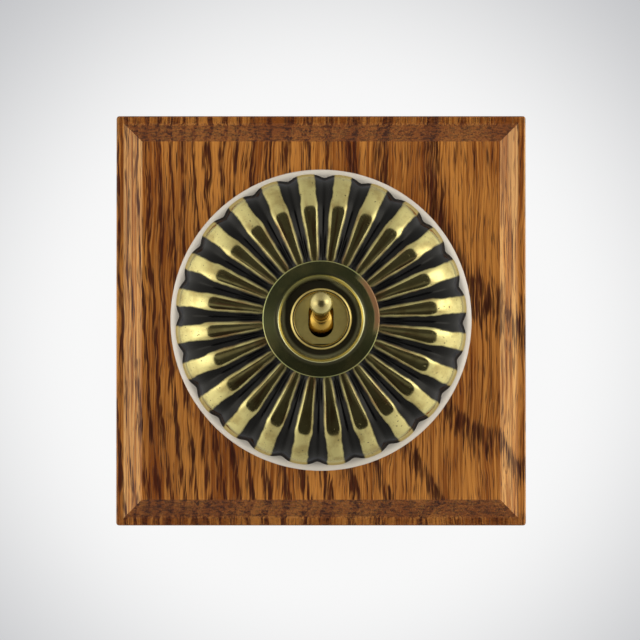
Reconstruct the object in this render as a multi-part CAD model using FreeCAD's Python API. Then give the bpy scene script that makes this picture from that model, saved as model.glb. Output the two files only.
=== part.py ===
import FreeCAD, Part
import math
import os
from FreeCAD import Rotation, Vector

# A dolly light switch: a fluted brass dome on a porcelain base, on a chamfered oak block.
# It is laid out on its back, with +Z out of the wall and +Y up the wall, and stood up at the end:
# then +Z is up, the wall is the plane Y = 0 and the dolly points to -Y.
# Lengths are in millimetres and angles in degrees.

# Oak block
pattress_width = 98.0
pattress_depth = 18.0
lip_width = 1.9
chamfer_width = 4.5
chamfer_drop = 4.0
cove_radius = 1.6
arris_radius = 0.5
front_arris_radius = 0.3
corner_radius = 0.8
cable_hole_step = 1.0
wall_screw_spacing = 60.3
wall_screw_hole_radius = 2.0
wall_screw_head_radius = 3.9

# Porcelain base
porcelain_radius = 35.5
flange_thickness = 8.0
front_edge_round = 1.6
back_edge_round = 0.6
showing_ring = 1.3
register_height = 1.5
register_clearance = 0.55
hollow_wall = 3.4
hollow_depth = 3.5
cable_way_radius = 4.2
cable_way_side = 13.5
cable_way_rise = 9.0

# Fluted dome
rib_count = 24
rib_phase = 6.1
dome_height = 19.0
dome_wall = 0.8
flute_depth = 0.95
rib_flatness = 3.0
valley_roundness = 6.0
rib_shares = (-1.0, -0.8, -0.45, 0.0, 0.45, 0.8, 1.0)
land_radius = 11.0
crown_drop = 1.45
crest_land_tilt = 3.0
valley_land_tilt = 22.0
crown_tilt = 9.0
shoulder_radius = 10.5
skirt_tilt = 88.0
crown_fullness = 1 / 3
crown_cuts = 4
shoulder_cuts = 5
skirt_cuts = 2

# Collar ring
collar_radius = 13.4
collar_edge = 1.0
collar_height = 1.8
collar_edge_round = 0.3
collar_nose_round = 1.6
collar_well_radius = 8.8
collar_well_depth = 0.6
collar_hub_radius = 8.9
collar_hub_depth = 1.8

# Neck bush and slot plate
neck_radius = 7.05
neck_stand = 4.0
neck_lip_round = 0.7
neck_seat_round = 0.2
neck_spigot_radius = 6.5
neck_flange_radius = 8.6
neck_flange_height = 1.3
slot_plate_radius = 6.0
slot_plate_thickness = 1.2
slot_plate_recess = 0.4
slot_plate_key = 5.65

# Dolly and its pivot
dolly_full_tilt = 34.0
pivot_depth = 3.6
tip_radius = 2.63
tip_reach = 11.7
neck_top_radius = 1.5
neck_foot_radius = 1.75
bead_radius = 2.1
bead_height = 0.8
bead_round = 0.3
barrel_radius = 3.9
barrel_width = 5.44
tail_radius = 2.1
tail_length = 9.5
pin_radius = 0.8
pin_end_recess = 0.4

# Plunger and spring
plunger_radius = 1.4
plunger_shank = 3.0
plunger_bore_depth = 6.0
spring_wire_radius = 0.2
spring_turns = 4

# Housing, yoke and rocker
body_width = 16.0
body_length = 24.0
body_height = 10.0
body_corner_radius = 1.5
body_floor = 2.0
chamber_width = 6.4
chamber_length = 19.6
yoke_thickness = 1.2
earth_ear_length = 4.6
earth_ear_width = 7.0
rocker_width = 4.4
rocker_length = 17.2
rocker_thickness = 0.9
rocker_tilt = 5.0
rocker_trough_width = 9.2
knuckle_radius = 1.1
knuckle_rise = 0.3
cradle_width = 3.6
cradle_web = 0.25
contact_spread = 14.6
contact_radius = 1.2
contact_height = 0.7
contact_rim = 0.3
fixed_contact_radius = 1.4

# Terminals
strip_width = 4.4
strip_thickness = 0.8
terminal_inset = 13.5
terminal_block = 7.0
terminal_height = 8.0
wire_hole_radius = 1.6
wire_hole_rise = 3.2

# Screws
clamp_screw_radius = 1.5
clamp_head_radius = 2.6
clamp_head_height = 1.8
small_screw_radius = 1.2
small_head_radius = 2.0
small_head_height = 1.3
small_screw_length = 5.0
earth_screw_radius = 1.75
earth_head_radius = 3.0
earth_head_height = 2.0
earth_screw_length = 5.0
body_screw_radius = 1.5
body_head_radius = 2.6
body_head_height = 1.6
body_screw_length = 9.5
body_screw_inset = 2.5
wood_screw_radius = 1.6
wood_head_radius = 3.2
wood_screw_length = 21.0
wood_screw_point = 4.0
wood_head_inset = 1.7
driver_slot_width = 0.7
driver_slot_depth = 0.7

# Clearances
running_clearance = 0.05
seat_clearance = 0.05
swing_clearance = 0.5
plunger_clearance = 0.08
contact_clearance = 0.06
slot_side_clearance = 0.15
slot_end_clearance = 0.35
match_tolerance = 0.0001

# Heights of the stack above the wall
flange_top = pattress_depth + flange_thickness
deck = flange_top + register_height
body_top = deck + body_height
yoke_top = body_top + yoke_thickness
dome_top = flange_top + dome_height
neck_top = dome_top + neck_stand
plate_seat = neck_top - slot_plate_recess - slot_plate_thickness
pivot_height = neck_top - pivot_depth
chamber_floor = deck + body_floor
strip_top = chamber_floor + strip_thickness
rocker_axis = strip_top + cradle_web + knuckle_radius + running_clearance
rocker_underside = rocker_axis + knuckle_rise
rocker_top = rocker_underside + rocker_thickness
plunger_reach = pivot_height - rocker_top - plunger_clearance

# Angles and spreads that follow from the sizes above
half_travel = dolly_full_tilt / 2
half_pitch = 180 / rib_count
passage_depth = pivot_height - body_top
passage_swing = passage_depth * math.tan(math.radians(half_travel))
passage_half_length = passage_swing + tail_radius / math.cos(math.radians(half_travel)) + swing_clearance
slot_half_width = barrel_width / 2 + slot_side_clearance
dome_radius = porcelain_radius - showing_ring
register_radius = dome_radius - flute_depth - dome_wall - register_clearance
wood_screw_offset = register_radius - wood_head_radius - wood_head_inset
hollow_radius = wood_screw_offset - wood_screw_radius - hollow_wall
cable_hole_radius = hollow_radius - cable_hole_step
body_screw_side = body_width / 2 - body_screw_inset
body_screw_rise = body_length / 2 - body_screw_inset

origin = Vector(0, 0, 0)
x_axis = Vector(1, 0, 0)
y_axis = Vector(0, 1, 0)
z_axis = Vector(0, 0, 1)
pivot = Vector(0, 0, pivot_height)


# Shapes that several pieces share

def turned(outline):
    """A solid turned about the Z axis from a closed outline of (radius, height) corners."""
    corners = [Vector(radius, 0, height) for radius, height in outline]
    return Part.Face(Part.makePolygon(corners + corners[:1])).revolve(origin, z_axis, 360)


def rounded(shape, size, radius, height):
    """The shape with the turned edge of this radius and height rounded."""
    centre = Vector(0, 0, height)
    circles = [edge for edge in shape.Edges if isinstance(edge.Curve, Part.Circle)]
    level = [edge for edge in circles if edge.Curve.Center.isEqual(centre, match_tolerance)]
    edges = [edge for edge in level if abs(edge.Curve.Radius - radius) < match_tolerance]
    return shape.makeFillet(size, edges)


def upright_edges(shape):
    """The edges that stand upright on a block with flat faces."""
    return [edge for edge in shape.Edges if edge.BoundBox.ZLength > match_tolerance]


def rod(radius, bottom, top, x=0.0, y=0.0):
    """An upright cylinder between two heights."""
    return Part.makeCylinder(radius, top - bottom, Vector(x, y, bottom))


def cross_rod(radius, width, height):
    """A cylinder along X, centred over the axis of the switch at a height."""
    return Part.makeCylinder(radius, width, Vector(-width / 2, 0, height), x_axis)


def slab(width, length, bottom, top, x=0.0, y=0.0):
    """An upright block between two heights, centred on x and y."""
    return Part.makeBox(width, length, top - bottom, Vector(x - width / 2, y - length / 2, bottom))


def slotted(half_width, half_length, bottom, top):
    """A round-ended slot, long in Y, between two heights."""
    straight = half_length - half_width
    ends = [rod(half_width, bottom, top, y=side * straight) for side in (-1, 1)]
    return slab(2 * half_width, 2 * straight, bottom, top).multiFuse(ends).removeSplitter()


def driver_slot(head_radius, head_height):
    """The cut for a screwdriver across the top of a head."""
    bottom = head_height - driver_slot_depth
    return slab(2 * head_radius, driver_slot_width, bottom, head_height)


def machine_screw(radius, length, head_radius, head_height):
    """A slotted screw that hangs from a seat at height zero."""
    head = rod(head_radius, 0, head_height)
    shank = rod(radius, -length, 0)
    return head.fuse(shank).cut(driver_slot(head_radius, head_height)).removeSplitter()


def facing_front(shape, x, y, seat):
    """A screw put in from the front, its head on a seat."""
    return shape.translated(Vector(x, y, seat))


def facing_back(shape, x, y, seat):
    """A screw put in from behind, its head under a seat."""
    return shape.rotated(origin, x_axis, 180).translated(Vector(x, y, seat))


def tilted_with_dolly(shape):
    """A piece drawn with the dolly square to the wall, turned to the up position."""
    return shape.rotated(pivot, x_axis, -half_travel)


def tilted_with_rocker(shape):
    """A piece drawn with the rocker level, turned until its lower arm is closed."""
    return shape.rotated(Vector(0, 0, rocker_axis), x_axis, rocker_tilt)


def around_axis(shape, angle):
    """A copy of a shape turned about the axis of the switch."""
    return shape.rotated(origin, z_axis, angle)


# Oak block

def moulded_length():
    """A length of the block's moulding along Y: lip, cove, chamfer and front on both sides."""
    half_width = pattress_width / 2
    lip_height = pattress_depth - chamfer_drop
    chamfer_foot = half_width - lip_width
    half_front = chamfer_foot - chamfer_width
    rounds = {
        (half_width, 0): arris_radius,
        (half_width, lip_height): arris_radius,
        (chamfer_foot, lip_height): cove_radius,
        (half_front, pattress_depth): front_arris_radius,
    }
    right = [Vector(x, -half_width, z) for x, z in rounds]
    left = [Vector(-corner.x, corner.y, corner.z) for corner in reversed(right)]
    outline = Part.makePolygon(right + left + right[:1])
    length = Part.Face(outline).extrude(Vector(0, pattress_width, 0))
    for (x, z), radius in rounds.items():
        for side in (-1, 1):
            corner = Vector(side * x, 0, z)
            edges = [edge for edge in length.Edges if edge.CenterOfMass.isEqual(corner, match_tolerance)]
            length = length.makeFillet(radius, edges)
    return length


def make_oak_pattress():
    moulding = moulded_length()
    column = slab(pattress_width, pattress_width, 0, pattress_depth)
    column = column.makeFillet(corner_radius, upright_edges(column))
    block = column.common(moulding).common(around_axis(moulding, 90))
    holes = [rod(cable_hole_radius, 0, pattress_depth)]
    head_depth = wall_screw_head_radius - wall_screw_hole_radius
    for side in (-1, 1):
        x = side * wall_screw_spacing / 2
        head_seat = Vector(x, 0, pattress_depth - head_depth)
        holes.append(rod(wall_screw_hole_radius, 0, pattress_depth, x))
        holes.append(Part.makeCone(wall_screw_hole_radius, wall_screw_head_radius, head_depth, head_seat))
        pilot = wood_screw_radius + seat_clearance
        pilot_end = deck - wood_screw_length - seat_clearance
        holes.append(rod(pilot, pilot_end, pattress_depth, y=side * wood_screw_offset))
    return block.cut(holes)


# Porcelain base

def make_porcelain_base():
    hollow_top = pattress_depth + hollow_depth
    base = turned([
        (0, hollow_top),
        (hollow_radius, hollow_top),
        (hollow_radius, pattress_depth),
        (porcelain_radius, pattress_depth),
        (porcelain_radius, flange_top),
        (register_radius, flange_top),
        (register_radius, deck),
        (0, deck),
    ])
    base = rounded(base, front_edge_round, porcelain_radius, flange_top)
    base = rounded(base, back_edge_round, porcelain_radius, pattress_depth)
    base = rounded(base, back_edge_round, register_radius, deck)
    holes = []
    for side in (-1, 1):
        holes.append(rod(cable_way_radius, hollow_top, deck, -cable_way_side, side * cable_way_rise))
        x = -side * body_screw_side
        y = side * body_screw_rise
        holes.append(rod(body_screw_radius + seat_clearance, hollow_top, deck, x, y))
        head_seat = hollow_top + body_head_height
        holes.append(rod(body_head_radius + seat_clearance, hollow_top, head_seat, x, y))
        y = side * wood_screw_offset
        head_depth = wood_head_radius - wood_screw_radius
        holes.append(rod(wood_screw_radius + seat_clearance, pattress_depth, deck, y=y))
        sink = Vector(0, y, deck - head_depth)
        low_radius = wood_screw_radius + seat_clearance
        holes.append(Part.makeCone(low_radius, wood_head_radius + seat_clearance, head_depth, sink))
    return base.cut(holes)


def make_base_screws():
    head_depth = wood_head_radius - wood_screw_radius
    head = Part.makeCone(wood_screw_radius, wood_head_radius, head_depth, Vector(0, 0, -head_depth))
    slot = driver_slot(wood_head_radius, 0)
    shank = rod(wood_screw_radius, wood_screw_point - wood_screw_length, -head_depth)
    point_end = Vector(0, 0, -wood_screw_length)
    point = Part.makeCone(driver_slot_width / 2, wood_screw_radius, wood_screw_point, point_end)
    screw = head.multiFuse([shank, point]).cut(slot).removeSplitter()
    return [facing_front(screw, 0, side * wood_screw_offset, deck) for side in (-1, 1)]


# Fluted dome

def down_slope(tilt):
    """The direction outwards and down a surface with this tilt."""
    angle = math.radians(tilt)
    return Vector(math.cos(angle), 0, -math.sin(angle))


def dome_guide(depth, land_height, land_tilt):
    """The dome's profile at a depth inside the rib crests: crown, shoulder and skirt, from land to rim."""
    crest_centre_height = dome_top - crown_drop - shoulder_radius * math.cos(math.radians(crown_tilt))
    skirt_slope = math.tan(math.radians(skirt_tilt))
    skirt_top = crest_centre_height + shoulder_radius * math.cos(math.radians(skirt_tilt))
    skirt_spread = (skirt_top - flange_top) / skirt_slope
    crest_centre_radius = dome_radius - skirt_spread - shoulder_radius * math.sin(math.radians(skirt_tilt))
    centre = Vector(crest_centre_radius, 0, crest_centre_height)

    def on_shoulder(tilt):
        angle = math.radians(tilt)
        return centre + Vector(math.sin(angle), 0, math.cos(angle)) * (shoulder_radius - depth)

    land = Vector(land_radius, 0, land_height)
    start = on_shoulder(crown_tilt)
    end = on_shoulder(skirt_tilt)
    handle = (start - land).Length * crown_fullness
    land_handle = land + down_slope(land_tilt) * handle
    start_handle = start - down_slope(crown_tilt) * handle
    crown = Part.BezierCurve()
    crown.setPoles([land, land_handle, start_handle, start])
    shoulder = Part.Arc(start, on_shoulder((crown_tilt + skirt_tilt) / 2), end)
    rim = Vector(end.x + (end.z - flange_top) / skirt_slope, 0, flange_top)
    return [crown.toShape(), shoulder.toShape(), Part.LineSegment(end, rim).toShape()]


def guide_points(guide):
    """Points down a guide where the rib is cut across, at even steps on each of its three parts."""
    points = []
    for edge, steps in zip(guide, (crown_cuts, shoulder_cuts, skirt_cuts)):
        span = edge.LastParameter - edge.FirstParameter
        points += [edge.valueAt(edge.FirstParameter + span * step / steps) for step in range(steps)]
    return points + [guide[-1].valueAt(guide[-1].LastParameter)]


def rib_cut(crest, valley):
    """A cut across one rib: nearly flat on the crest, rounded in the valleys, smooth to the next."""
    points = []
    for share in rib_shares:
        side = abs(share)
        easing = 1 + rib_flatness / valley_roundness * (1 - side ** valley_roundness)
        fallen = crest + (valley - crest) * (side ** rib_flatness * easing)
        points.append(Rotation(z_axis, share * half_pitch).multVec(fallen))
    ends = [Rotation(z_axis, side * half_pitch).multVec(y_axis) for side in (-1, 1)]
    curve = Part.BSplineCurve()
    curve.interpolate(Points=points, InitialTangent=ends[0], FinalTangent=ends[1])
    return Part.Wire(curve.toShape())


def rib_corners(crest, valley):
    """A straight cut across one rib, from valley to crest to valley."""
    left, right = [Rotation(z_axis, side * half_pitch).multVec(valley) for side in (-1, 1)]
    return Part.makePolygon([left, crest, right])


def patterned(shape):
    """Copies of one rib's shape all round the dome."""
    return [around_axis(shape, rib_phase + 2 * half_pitch * rib) for rib in range(rib_count)]


def edges_of(wires):
    """All edges of some wires, in order."""
    return [edge for wire in wires for edge in wire.Edges]


def make_fluted_dome():
    under_land = dome_top - dome_wall
    outside = zip(guide_points(dome_guide(0, dome_top, crest_land_tilt)),
                  guide_points(dome_guide(flute_depth, dome_top, valley_land_tilt)))
    inside = zip(guide_points(dome_guide(dome_wall, under_land, crest_land_tilt)),
                 guide_points(dome_guide(dome_wall + flute_depth, under_land, valley_land_tilt)))
    smooth_cuts = [rib_cut(*pair) for pair in outside]
    straight_cuts = [rib_corners(*pair) for pair in inside]
    faces = []
    lands = []
    rims = []
    for cuts in (smooth_cuts, straight_cuts):
        for rib in patterned(Part.makeLoft(cuts)):
            faces += rib.Faces
        lands.append(Part.Wire(edges_of(patterned(cuts[0]))))
        rims.append(Part.Wire(edges_of(patterned(cuts[-1]))))
    faces.append(Part.makeFace(rims, "Part::FaceMakerBullseye"))
    hole_radius = collar_hub_radius + seat_clearance
    for land, height in zip(lands, (dome_top, under_land)):
        hole = Part.Wire(Part.makeCircle(hole_radius, Vector(0, 0, height)))
        faces.append(Part.makeFace([land, hole], "Part::FaceMakerBullseye"))
    hole_edge = Part.makeCircle(hole_radius, Vector(0, 0, under_land))
    faces.append(hole_edge.extrude(Vector(0, 0, dome_wall)))
    shell = Part.makeShell(faces)
    shell.sewShape()
    return Part.makeSolid(shell)


# Collar ring, neck bush and slot plate

def make_collar_ring():
    bore = neck_radius + seat_clearance
    top = dome_top + collar_height
    ring = turned([
        (bore, dome_top - collar_hub_depth),
        (collar_hub_radius, dome_top - collar_hub_depth),
        (collar_hub_radius, dome_top),
        (collar_radius, dome_top),
        (collar_radius, dome_top + collar_edge),
        (collar_well_radius, top),
        (collar_well_radius, top - collar_well_depth - collar_nose_round),
        (bore, top - collar_well_depth - collar_nose_round),
    ])
    ring = rounded(ring, collar_nose_round, collar_well_radius, top)
    return rounded(ring, collar_edge_round, collar_radius, dome_top + collar_edge)


def make_neck_bush():
    flange_height = yoke_top + neck_flange_height
    seat_radius = slot_plate_radius + seat_clearance
    bush = turned([
        (0, body_top),
        (neck_spigot_radius, body_top),
        (neck_spigot_radius, yoke_top),
        (neck_flange_radius, yoke_top),
        (neck_flange_radius, flange_height),
        (neck_radius, flange_height),
        (neck_radius, neck_top),
        (seat_radius, neck_top),
        (seat_radius, plate_seat),
        (0, plate_seat),
    ])
    bush = rounded(bush, neck_lip_round, neck_radius, neck_top)
    bush = rounded(bush, neck_seat_round, seat_radius, neck_top)
    passage = slotted(slot_half_width, passage_half_length, body_top, plate_seat)
    pin_hole = cross_rod(pin_radius + seat_clearance, 2 * neck_radius, pivot_height)
    return bush.cut([passage, pin_hole])


def make_slot_plate():
    top = plate_seat + slot_plate_thickness
    disc = rod(slot_plate_radius, plate_seat, top)
    below_key = slab(2 * slot_plate_radius, slot_plate_radius, plate_seat, top,
                     y=-slot_plate_key - slot_plate_radius / 2)
    slot = slotted(slot_half_width, barrel_radius + slot_end_clearance, plate_seat, top)
    return disc.cut([below_key, slot])


# Dolly, pivot, plunger and spring

def make_dolly():
    cheeks = slab(barrel_width, 2 * barrel_radius, -barrel_radius, barrel_radius)
    barrel = Part.makeSphere(barrel_radius).common(cheeks)
    bead_foot = barrel_radius - bead_round
    bead = turned([
        (0, bead_foot),
        (bead_radius, bead_foot),
        (bead_radius, bead_foot + bead_height),
        (0, bead_foot + bead_height),
    ])
    bead = rounded(bead, bead_round, bead_radius, bead_foot)
    bead = rounded(bead, bead_round, bead_radius, bead_foot + bead_height)
    stem = Part.makeCone(neck_foot_radius, neck_top_radius, tip_reach - bead_foot, Vector(0, 0, bead_foot))
    tip = Part.makeSphere(tip_radius, Vector(0, 0, tip_reach))
    tail = rod(tail_radius, -tail_length, 0)
    lever = barrel.multiFuse([bead, stem, tip, tail]).removeSplitter()
    bore = rod(plunger_radius + running_clearance, -tail_length, plunger_bore_depth - tail_length)
    pin_hole = cross_rod(pin_radius + running_clearance, barrel_width, 0)
    lever = lever.cut([bore, pin_hole])
    return tilted_with_dolly(lever.translated(pivot))


def make_pivot_pin():
    return cross_rod(pin_radius, 2 * (neck_radius - pin_end_recess), pivot_height)


def make_plunger():
    nose_centre = plunger_radius - plunger_reach
    nose = Part.makeSphere(plunger_radius, Vector(0, 0, nose_centre))
    shank = rod(plunger_radius, nose_centre, plunger_shank - tail_length)
    return tilted_with_dolly(nose.fuse(shank).removeSplitter().translated(pivot))


def make_plunger_spring():
    foot = plunger_shank - tail_length + spring_wire_radius + seat_clearance
    head = plunger_bore_depth - tail_length - spring_wire_radius - seat_clearance
    coil_radius = plunger_radius - spring_wire_radius
    path = Part.Wire(Part.makeHelix((head - foot) / spring_turns, head - foot, coil_radius))
    section = Part.Wire(Part.makeCircle(spring_wire_radius, Vector(coil_radius, 0, 0), y_axis))
    spring = path.makePipeShell([section], True, True)
    return tilted_with_dolly(spring.translated(pivot + Vector(0, 0, foot)))


# Rocker and contacts

def make_rocker():
    half_length = rocker_length / 2
    half_trough = rocker_trough_width / 2
    trough_radius = pivot_height - rocker_top
    arm_top = pivot_height - math.sqrt(trough_radius ** 2 - half_trough ** 2)
    half_width = rocker_width / 2

    def corner(y, z):
        return Vector(-half_width, y, z)

    trough = Part.Arc(corner(half_trough, arm_top), corner(0, rocker_top), corner(-half_trough, arm_top))
    rest = Part.makePolygon([
        corner(-half_trough, arm_top),
        corner(-half_length, arm_top),
        corner(-half_length, rocker_underside),
        corner(half_length, rocker_underside),
        corner(half_length, arm_top),
        corner(half_trough, arm_top),
    ])
    outline = Part.Wire([trough.toShape()] + rest.Edges)
    bar = Part.Face(outline).extrude(Vector(rocker_width, 0, 0))
    knuckle = cross_rod(knuckle_radius, rocker_width, rocker_axis)
    return tilted_with_rocker(bar.fuse(knuckle).removeSplitter())


def contact_places():
    return [side * contact_spread / 2 for side in (-1, 1)]


def make_rocker_contacts():
    dome_drop = contact_height - contact_rim
    dome_sphere = (contact_radius ** 2 + dome_drop ** 2) / (2 * dome_drop)
    button = rod(contact_radius, -contact_height, 0)
    ball = Part.makeSphere(dome_sphere, Vector(0, 0, dome_sphere - contact_height))
    button = button.common(ball)
    places = [Vector(0, y, rocker_underside) for y in contact_places()]
    return [tilted_with_rocker(button.translated(place)) for place in places]


def make_fixed_contacts():
    tilt = math.radians(rocker_tilt)
    drop = contact_spread / 2 * math.sin(tilt) - (knuckle_rise - contact_height) * math.cos(tilt)
    top = rocker_axis - drop - contact_clearance
    return [rod(fixed_contact_radius, strip_top, top, y=y) for y in contact_places()]


# Terminals

def make_terminal(strip_start):
    """A terminal that points along +X: a flat strip into the housing and a pillar block with a wire hole."""
    strip_length = terminal_inset - strip_start
    strip = slab(strip_length, strip_width, chamber_floor, strip_top, x=strip_start + strip_length / 2)
    middle = terminal_inset + terminal_block / 2
    block_top = deck + terminal_height
    block = slab(terminal_block, terminal_block, deck, block_top, x=middle)
    wire_start = Vector(middle, -terminal_block / 2, deck + wire_hole_rise)
    wire_hole = Part.makeCylinder(wire_hole_radius, terminal_block, wire_start, y_axis)
    screw_hole = rod(clamp_screw_radius + seat_clearance, deck + wire_hole_rise, block_top, x=middle)
    return strip.fuse(block).removeSplitter().cut([wire_hole, screw_hole])


def make_common_terminal():
    cradle = slab(strip_width, cradle_width, strip_top, rocker_axis - running_clearance)
    groove = cross_rod(knuckle_radius + running_clearance, strip_width, rocker_axis)
    return make_terminal(-strip_width / 2).fuse(cradle.cut(groove)).removeSplitter()


def make_way_terminal(angle):
    return around_axis(make_terminal(contact_spread / 2 - fixed_contact_radius), angle)


def make_terminal_screws():
    length = terminal_height - wire_hole_rise
    screw = machine_screw(clamp_screw_radius, length, clamp_head_radius, clamp_head_height)
    seated = facing_front(screw, terminal_inset + terminal_block / 2, 0, deck + terminal_height)
    return [around_axis(seated, angle) for angle in (0, 90, -90)]


# Housing and yoke

def make_switch_body():
    body = slab(body_width, body_length, deck, body_top)
    body = body.makeFillet(body_corner_radius, upright_edges(body))
    notch_width = strip_width + 2 * seat_clearance
    cuts = [
        slab(chamber_width, chamber_length, chamber_floor, body_top),
        slab(notch_width, body_length, chamber_floor, body_top),
        slab(body_width / 2, notch_width, chamber_floor, body_top, x=body_width / 4),
    ]
    for side in (-1, 1):
        x = side * body_screw_side
        y = side * body_screw_rise
        yoke_screw_end = body_top - small_screw_length
        cuts.append(rod(small_screw_radius + seat_clearance, yoke_screw_end, body_top, x, y))
        screw_end = pattress_depth + hollow_depth + body_head_height + body_screw_length + seat_clearance
        cuts.append(rod(body_screw_radius + seat_clearance, deck, screw_end, -x, y))
    return body.cut(cuts)


def make_body_screws():
    screw = machine_screw(body_screw_radius, body_screw_length, body_head_radius, body_head_height)
    seat = pattress_depth + hollow_depth + body_head_height
    return [facing_back(screw, -side * body_screw_side, side * body_screw_rise, seat) for side in (-1, 1)]


def earth_screw_place():
    return -body_width / 2 - earth_ear_length


def make_yoke_plate():
    plate = slab(body_width, body_length, body_top, yoke_top)
    plate = plate.makeFillet(body_corner_radius, upright_edges(plate))
    ear_x = earth_screw_place()
    ear = slab(-ear_x, earth_ear_width, body_top, yoke_top, x=ear_x / 2)
    ear_end = rod(earth_ear_width / 2, body_top, yoke_top, ear_x)
    holes = [
        rod(neck_spigot_radius + seat_clearance, body_top, yoke_top),
        rod(earth_screw_radius + seat_clearance, body_top, yoke_top, ear_x),
    ]
    for side in (-1, 1):
        x = side * body_screw_side
        y = side * body_screw_rise
        holes.append(rod(small_screw_radius + seat_clearance, body_top, yoke_top, x, y))
    return plate.multiFuse([ear, ear_end]).removeSplitter().cut(holes)


def make_yoke_screws():
    length = small_screw_length + yoke_thickness - seat_clearance
    screw = machine_screw(small_screw_radius, length, small_head_radius, small_head_height)
    sides = (-1, 1)
    return [facing_front(screw, side * body_screw_side, side * body_screw_rise, yoke_top) for side in sides]


def make_earth_screw():
    screw = machine_screw(earth_screw_radius, earth_screw_length, earth_head_radius, earth_head_height)
    return facing_front(screw, earth_screw_place(), 0, yoke_top)


# Writing the pieces out, stood up against the wall

pieces = {
    "oak_pattress": make_oak_pattress(),
    "porcelain_base": make_porcelain_base(),
    "base_screws": Part.makeCompound(make_base_screws()),
    "fluted_dome": make_fluted_dome(),
    "collar_ring": make_collar_ring(),
    "neck_bush": make_neck_bush(),
    "slot_plate": make_slot_plate(),
    "dolly": make_dolly(),
    "pivot_pin": make_pivot_pin(),
    "plunger": make_plunger(),
    "plunger_spring": make_plunger_spring(),
    "rocker": make_rocker(),
    "rocker_contacts": Part.makeCompound(make_rocker_contacts()),
    "fixed_contacts": Part.makeCompound(make_fixed_contacts()),
    "common_terminal": make_common_terminal(),
    "upper_terminal": make_way_terminal(90),
    "lower_terminal": make_way_terminal(-90),
    "terminal_screws": Part.makeCompound(make_terminal_screws()),
    "switch_body": make_switch_body(),
    "body_screws": Part.makeCompound(make_body_screws()),
    "yoke_plate": make_yoke_plate(),
    "yoke_screws": Part.makeCompound(make_yoke_screws()),
    "earth_screw": make_earth_screw(),
}

os.makedirs("parts", exist_ok=True)
for name, shape in pieces.items():
    standing = shape.rotated(origin, x_axis, 90)
    standing.exportStep(f"parts/{name}.step")
    print(name, len(standing.Solids), "solid", standing.isValid(), round(standing.Volume, 2), "mm3")
print("pivot of the dolly", round(-pivot_height, 4), "axis of the rocker", round(-rocker_axis, 4))
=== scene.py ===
import math
from functools import partial
import bpy
import numpy as np
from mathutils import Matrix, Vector


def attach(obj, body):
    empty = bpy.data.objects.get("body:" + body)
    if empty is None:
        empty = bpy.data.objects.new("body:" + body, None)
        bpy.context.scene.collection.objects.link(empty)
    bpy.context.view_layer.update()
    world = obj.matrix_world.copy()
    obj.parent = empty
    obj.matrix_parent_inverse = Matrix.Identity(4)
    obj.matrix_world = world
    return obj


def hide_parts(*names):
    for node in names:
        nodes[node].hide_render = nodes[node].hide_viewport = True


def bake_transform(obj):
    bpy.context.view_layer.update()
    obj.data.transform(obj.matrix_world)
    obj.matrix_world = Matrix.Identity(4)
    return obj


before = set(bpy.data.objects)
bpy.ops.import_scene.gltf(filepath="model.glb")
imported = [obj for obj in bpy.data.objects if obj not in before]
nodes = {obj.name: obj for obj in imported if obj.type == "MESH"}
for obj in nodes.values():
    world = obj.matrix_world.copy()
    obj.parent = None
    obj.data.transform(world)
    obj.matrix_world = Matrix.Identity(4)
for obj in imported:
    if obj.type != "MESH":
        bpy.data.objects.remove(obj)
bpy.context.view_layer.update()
mm = 0.001
print("frame loaded:", len(nodes), "solids' nodes")


def linear(code, alpha=1.0):
    # sRGB hex to the linear colour that the sockets take
    parts = [int(code[i:i + 2], 16) / 255 for i in (1, 3, 5)]
    return [p / 12.92 if p <= 0.04045 else ((p + 0.055) / 1.055) ** 2.4 for p in parts] + [alpha]


def addNode(tree, kind, inputs=None, **settings):
    # one node with its settings; an input is a constant, a socket or another node's first live output
    made = tree.nodes.new(kind)
    for name, value in settings.items():
        setattr(made, name, value)
    for key, value in (inputs or {}).items():
        if isinstance(value, bpy.types.Node):
            value = next(output for output in value.outputs if output.enabled)
        if isinstance(value, bpy.types.NodeSocket):
            tree.links.new(value, made.inputs[key])
        else:
            made.inputs[key].default_value = value
    return made


def startMaterial(name):
    # an empty material with its shader, and the place on the piece in millimetres
    material = bpy.data.materials.new(name)
    material.use_nodes = True
    tree = material.node_tree
    tree.nodes.clear()
    shader = addNode(tree, "ShaderNodeBsdfPrincipled")
    addNode(tree, "ShaderNodeOutputMaterial", {"Surface": shader})
    spot = addNode(tree, "ShaderNodeTexCoord")
    place = addNode(tree, "ShaderNodeVectorMath", {0: spot.outputs["Object"], 3: 1 / mm}, operation="SCALE")
    return material, partial(addNode, tree), tree.links.new, shader, place


def dress(material, *names):
    for name in names:
        nodes[name].data.materials.clear()
        nodes[name].data.materials.append(material)


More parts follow.
